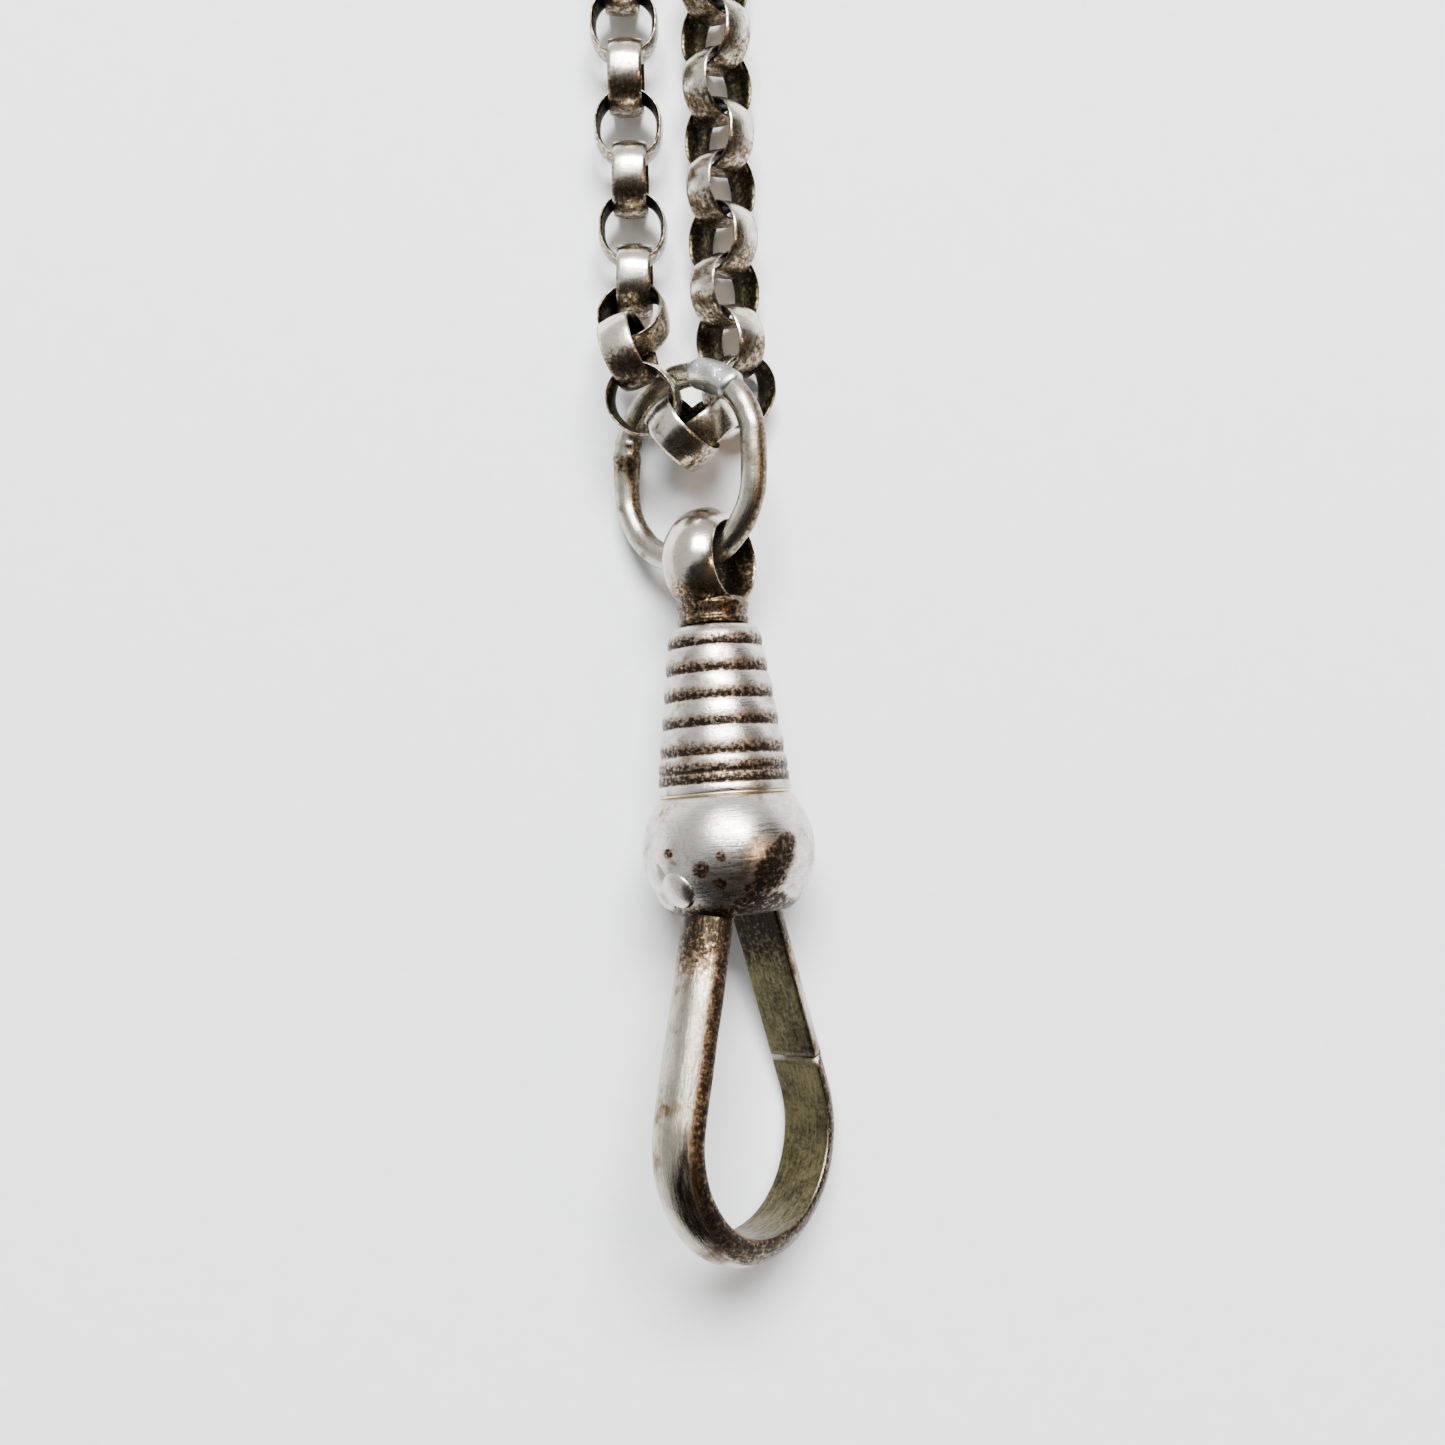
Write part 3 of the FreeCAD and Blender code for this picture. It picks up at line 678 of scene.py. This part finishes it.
def join_into(bm, other):
    """Adds the other bmesh to this one and frees it."""
    data = bpy.data.meshes.new("scratch")
    other.to_mesh(data)
    other.free()
    bm.from_mesh(data)
    bpy.data.meshes.remove(data)


def eye_grime_and_shade(point):
    """Black inside the hole, and painted shade in brown on the band's lower half and round the neck under it.
    """
    away = point - Vector((0, EYE_Y, 0))
    off_axis = (away - eye_axis() * away.dot(eye_axis())).length
    inside = rise(off_axis, EYE_LIP_R + 0.02, EYE_LIP_R - 0.1)
    # The second term is painted shade: brown from the eye's middle down over the neck.
    return max(inside, 0.8 * rise(point.y, EYE_Y - 0.2, EYE_Y - 1.7))


def make_eye():
    bm = eye_band()
    foot = COLLAR_FOOT_Y
    stem = [(0.001, STEM_FOOT_Y, 0), (STEM_R, STEM_FOOT_Y, 0), (STEM_R, foot, 0),
            (1.36, foot, 0), (1.46, foot + 0.08, 0),
            (1.48, foot + 0.22, 0), (1.40, foot + 0.32, 0), (1.42, foot + 0.50, 0), (1.50, foot + 0.85, 0),
            (1.30, foot + 1.10, 0), (0.001, foot + 1.15, 0)]
    join_into(bm, lathe(stem, 64))
    obj = remeshed(mesh_object("swivel_eye_look", bm, CLIP), 0.04, 4)
    paint(obj, CLIP, eye_grime_and_shade)
    settle(obj, "eye", "tarnished_silver", EYE_SILVER, "swivel_eye")


# ---------------------------------------------------------------- hook and gate

def arm_section(narrow=0.0):
    """The D of the hook's bar as (distance from the loop's middle, z, depth)."""
    half = HOOK_DEEP / 2 - narrow
    flat = [(LOOP_R + 0.02, half * k / 6 * 0.93, 1.0) for k in range(-6, 7)]
    dome = curve_points((LOOP_R + HOOK_EDGE, half), (LOOP_R + HOOK_THICK, 0), (LOOP_R + HOOK_EDGE, -half), 22)
    corner_top = [(LOOP_R + 0.03, half * 0.97, 0.7), (LOOP_R + 0.10, half, 0.3)]
    corner_low = [(r, -z, d) for r, z, d in reversed(corner_top)]
    return flat + corner_top + [(r, z, 0.0) for r, z in dome] + corner_low


def arm_frames(side, low, high, steps):
    """Frames of a straight arm from distance low to high past the bend's end."""
    lean = math.radians(ARM_LEAN)
    frames = []
    for k in range(steps + 1):
        t = low + (high - low) * k / steps
        along = Vector((-math.sin(lean), math.cos(lean), 0)) * t
        out = Vector((math.cos(lean), math.sin(lean), 0))
        frames.append((Vector((side * along.x, BEND_Y + along.y, 0)), Vector((side * out.x, out.y, 0))))
    return frames


def bend_frames(steps):
    """Frames round the hook's bend, from the gate's side to the fixed arm's."""
    frames = []
    for k in range(steps + 1):
        angle = math.radians(ARM_LEAN - (180 + 2 * ARM_LEAN) * k / steps)
        frames.append((Vector((0, BEND_Y, 0)), Vector((math.cos(angle), math.sin(angle), 0))))
    return frames


def swept(frames, narrow=lambda k: 0.0):
    """The D carried along the frames and closed at both ends; narrow thins it at each one."""
    bm = bmesh.new()
    rows = []
    for index, (origin, out) in enumerate(frames):
        section = arm_section(narrow(index))
        rows.append([(tuple(origin + out * r + Vector((0, 0, z))), d) for r, z, d in section])
    made = grid(bm, rows)
    bm.faces.new(made[0])
    bm.faces.new(list(reversed(made[-1])))
    return bm


def seam_plane(drop):
    """A point and the normal of the slanted cut between hook and gate, lowered by drop."""
    lean = math.radians(ARM_LEAN)
    middle_x = (LOOP_R + HOOK_THICK / 2) / math.cos(lean) - (SEAM_Y - BEND_Y) * math.tan(lean)
    angle = math.radians(ARM_LEAN + SEAM_SLANT)
    return Vector((middle_x, SEAM_Y - drop, 0)), Vector((-math.sin(angle), math.cos(angle), 0))


def cut_at_seam(bm, drop, keep_low):
    """Cuts the bar on the gate's side and keeps what is below the cut, or above it."""
    point, normal = seam_plane(drop)
    verts = [v for v in bm.verts if v.co.x > 0.5]
    geometry = verts + [e for e in bm.edges if all(v.co.x > 0.5 for v in e.verts)]
    geometry += [f for f in bm.faces if all(v.co.x > 0.5 for v in f.verts)]
    cut = bmesh.ops.bisect_plane(bm, geom=geometry, plane_co=point, plane_no=normal,
                                 clear_outer=keep_low, clear_inner=not keep_low)
    edges = [item for item in cut["geom_cut"] if isinstance(item, bmesh.types.BMEdge)]
    bmesh.ops.holes_fill(bm, edges=edges, sides=0)


def reach(y):
    """How far up an arm's line the height y lies."""
    return (y - BEND_Y) / math.cos(math.radians(ARM_LEAN))


def root_darkening(point):
    """The hook's arms darken towards where they come out of the bulb, black at the bulb."""
    return rise(point.y, BULB_FOOT_Y - 3.6, BULB_FOOT_Y - 0.5)


def make_hook():
    tip = list(reversed(arm_frames(1, 0, reach(SEAM_Y + 1.2), 10)))
    fixed = arm_frames(-1, 0, reach(ARM_ROOT_Y), 30)
    bm = swept(tip[:-1] + bend_frames(90) + fixed[1:])
    cut_at_seam(bm, SEAM_GAP, True)
    roughen(bm, 0.02, 0.7, seed=2.0)
    obj = mesh_object("hook_look", bm, CLIP)
    paint(obj, CLIP, root_darkening)
    # Painted dark brown reflection on the arm's side that faces +X and up.
    paint_dark_reflection(obj, 0.85)
    settle(obj, "clip", "tarnished_silver", HOOK_SILVER, "hook")


def make_gate():
    frames = arm_frames(1, reach(SEAM_Y - 1.5), reach(PIN_Y - 0.3), 44)
    last = len(frames) - 1
    bm = swept(frames, lambda k: 0.13 if k > last - 7 else 0.0)
    cut_at_seam(bm, 0.0, False)
    knuckle = lathe([(KNUCKLE_BORE_R, -KNUCKLE_HALF, 0), (KNUCKLE_R, -KNUCKLE_HALF, 0),
                     (KNUCKLE_R, KNUCKLE_HALF, 0), (KNUCKLE_BORE_R, KNUCKLE_HALF, 0)], 48)
    knuckle.transform(Matrix.Translation((PIN_X, PIN_Y, 0)) @ turn("X", 90))
    join_into(bm, knuckle)
    roughen(bm, 0.015, 0.8, seed=6.0)
    obj = mesh_object("gate_look", bm, CLIP)
    paint(obj, CLIP, root_darkening)
    settle(obj, "gate", "tarnished_silver", HOOK_SILVER, "gate")


def make_pin():
    profile = [(0.001, -PIN_HALF, 0), (0.2, -PIN_HALF + 0.01, 0), (0.33, -PIN_HALF + 0.06, 0),
               (PIN_R, -PIN_HALF + 0.16, 0.6)]
    profile += [(r, -y, d) for r, y, d in reversed(profile)]
    bm = lathe(profile, 40)
    place = CLIP @ Matrix.Translation((PIN_X, PIN_Y, 0)) @ turn("X", 90)
    settle(mesh_object("gate_pin_look", bm, place), "clip", "spring_steel", SHELL_SILVER, "gate_pin")


def make_hook_solder():
    """Three flat lobes of solder on the bulb, over the root of the fixed arm."""
    bm = bmesh.new()
    to_clip = CLIP.to_3x3().inverted()
    for aim, size in (((-2.85, -0.95, 1.75), 0.78), ((-2.0, -1.35, 2.4), 0.80), ((-2.5, -1.75, 1.5), 0.6)):
        out = (to_clip @ Vector(aim)).normalized()
        flat = Vector((0, 0, 1)).rotation_difference(out).to_matrix().to_4x4()
        matrix = Matrix.Translation(out * 3.32) @ flat @ Matrix.Diagonal((size, size, 0.30, 1.0))
        bmesh.ops.create_icosphere(bm, subdivisions=4, radius=1.0, matrix=matrix)
    obj = remeshed(mesh_object("hook_solder_look", bm, CLIP), 0.05, 6)
    settle(obj, "clip", "solder", SHELL_SILVER, "hook_solder")


# ---------------------------------------------------------------- jump ring

def oval_point(degrees, radius, z):
    """A point of the ring's oval: straight sides between two half circles."""
    angle = math.radians(degrees)
    offset = RING_STRAIGHT / 2 * max(-1.0, min(1.0, 6.0 * math.sin(angle)))
    return (radius * math.cos(angle), radius * math.sin(angle) + offset, z)


def wire_rows(angles, radius_at, sides=28):
    """Rows round the ring's wire at each angle; radius_at gives the wire's radius there."""
    rows = []
    for index, degrees in enumerate(angles):
        r = radius_at(index, degrees)
        row = []
        for k in range(sides):
            a = 2 * math.pi * k / sides
            row.append((oval_point(degrees, RING_BEND_R + r * math.cos(a), r * math.sin(a)), 0.0))
        rows.append(row)
    return rows


def make_ring():
    bm = bmesh.new()

    def radius(_, degrees):
        burr = math.exp(-((degrees - 172) / 9.0) ** 2)
        return RING_WIRE_R + 0.10 * burr * (0.6 + 0.8 * noise.noise(Vector((degrees * 0.25, 0, 0))))

    grid(bm, wire_rows([k * 2.0 for k in range(180)], radius), close_rows=True)
    roughen(bm, 0.03, 1.4, seed=1.0)
    obj = mesh_object("jump_ring_look", bm, RING)
    burr = Vector((-RING_BEND_R, 0.45, 0))
    paint(obj, RING, lambda point: 0.8 * rise((point - burr).length, 1.0, 0.5))
    # Painted dark brown reflection on the ring's side that faces +X and up.
    paint_dark_reflection(obj, 0.6)
    settle(obj, "ring", "tarnished_silver", RING_SILVER, "jump_ring")


def make_sleeve():
    bm = bmesh.new()
    count = 40
    span = SLEEVE_TO - SLEEVE_FROM

    def radius(index, _):
        ends = min(index, count - index) / 4.0
        return RING_WIRE_R - 0.02 + (SLEEVE_R - RING_WIRE_R + 0.02) * math.sqrt(min(1.0, ends))

    made = grid(bm, wire_rows([SLEEVE_FROM + span * k / count for k in range(count + 1)], radius))
    bm.faces.new(made[0])
    bm.faces.new(list(reversed(made[-1])))
    roughen(bm, 0.08, 1.5, seed=3.0)
    settle(mesh_object("jump_ring_solder_look", bm, RING), "ring", "solder", SOLDER_GREY, "jump_ring_solder")


# ---------------------------------------------------------------- what stays as CAD made it

def finish_frame_nodes():
    """Two are seen as they are, the gate's spring and the head of the eye's rivet."""
    for name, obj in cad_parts.items():
        finish(obj, SPRING_STEEL if name == "gate_spring" else SHELL_SILVER)


# ---------------------------------------------------------------- floor, light and camera

def make_floor():
    bm = bmesh.new()
    bmesh.ops.create_grid(bm, x_segments=2, y_segments=2, size=1.5)
    data = bpy.data.meshes.new("floor")
    bm.to_mesh(data)
    bm.free()
    floor = bpy.data.objects.new("floor", data)
    bpy.context.scene.collection.objects.link(floor)
    material = bpy.data.materials.new("paper")
    n = Nodes(material)
    place = n.add("TexCoord").outputs["Object"]
    grain = n.add("TexNoise", {"Vector": place, "Scale": 900.0, "Detail": 6, "Roughness": 0.6})
    color = n.ramp(grain.outputs["Fac"], [(0.3, (0.855, 0.868, 0.885)), (0.7, (0.885, 0.898, 0.912))])
    bump = n.add("Bump", {"Height": grain.outputs["Fac"], "Strength": 0.12, "Distance": 0.0001})
    shader = n.add("BsdfPrincipled", {"Base Color": color, "Roughness": 0.75, "Normal": bump.outputs[0]})
    out = n.add("OutputMaterial")
    n.tree.links.new(shader.outputs[0], out.inputs[0])
    finish(floor, material)


def area_light(name, place, aim, size, power, color=(1, 1, 1)):
    data = bpy.data.lights.new(name, "AREA")
    data.shape = "RECTANGLE"
    data.size, data.size_y = size
    data.energy = power
    data.color = color
    lamp = bpy.data.objects.new(name, data)
    lamp.location = place
    lamp.rotation_euler = (Vector(aim) - Vector(place)).to_track_quat("-Z", "Y").to_euler()
    bpy.context.scene.collection.objects.link(lamp)


def world_mask(n, direction, toward, narrow, wide):
    """1 near a direction of the sky, falling to 0 between two angles from it."""
    dot = n.add("VectorMath", {0: direction, 1: Vector(toward).normalized()}, operation="DOT_PRODUCT")
    mask = n.add("MapRange", {"Value": dot.outputs["Value"], "From Min": math.cos(math.radians(wide)),
                              "From Max": math.cos(math.radians(narrow))}, interpolation_type="SMOOTHSTEP")
    return mask.outputs["Result"]


def make_light():
    """A pale room with two dark stretches, a large soft lamp on +Y's side and a small warm one on +X's."""
    world = bpy.data.worlds.new("studio")
    bpy.context.scene.world = world
    n = Nodes(world)
    direction = n.add("TexCoord").outputs["Generated"]
    room = (0.965, 0.985, 1.0)
    color = n.mix(world_mask(n, direction, (0.12, -0.76, 0.63), 50, 58), room, (0.016, 0.013, 0.011))
    color = n.mix(world_mask(n, direction, (0.78, -0.10, 0.62), 45, 51), color, (0.040, 0.023, 0.012))
    background = n.add("Background", {"Color": color, "Strength": 0.95})
    out = n.add("OutputWorld")
    n.tree.links.new(background.outputs[0], out.inputs[0])
    aim = TO_FRAME @ Vector((0, 0, 0))
    area_light("key", aim + Vector((0.02, 0.30, 0.40)), aim, (0.30, 0.18), 9.6, (0.985, 0.99, 1.0))
    area_light("warm", aim + Vector((0.25, 0.03, 0.30)), aim, (0.015, 0.06), 0.22, (1.0, 0.62, 0.34))


def make_camera():
    data = bpy.data.cameras.new("camera")
    data.sensor_width = 36.0
    data.lens = 36.0
    data.clip_start = 0.005
    camera = bpy.data.objects.new("camera", data)
    camera.location = TO_FRAME @ Vector((0, 0, CAMERA_HEIGHT))
    bpy.context.scene.collection.objects.link(camera)
    bpy.context.scene.camera = camera


make_camera()
finish_frame_nodes()
make_links()
make_coil()
make_bulb()
make_barrel()
make_solder_ring()
make_eye()
make_hook()
make_gate()
make_pin()
make_hook_solder()
make_ring()
make_sleeve()
make_floor()
make_light()
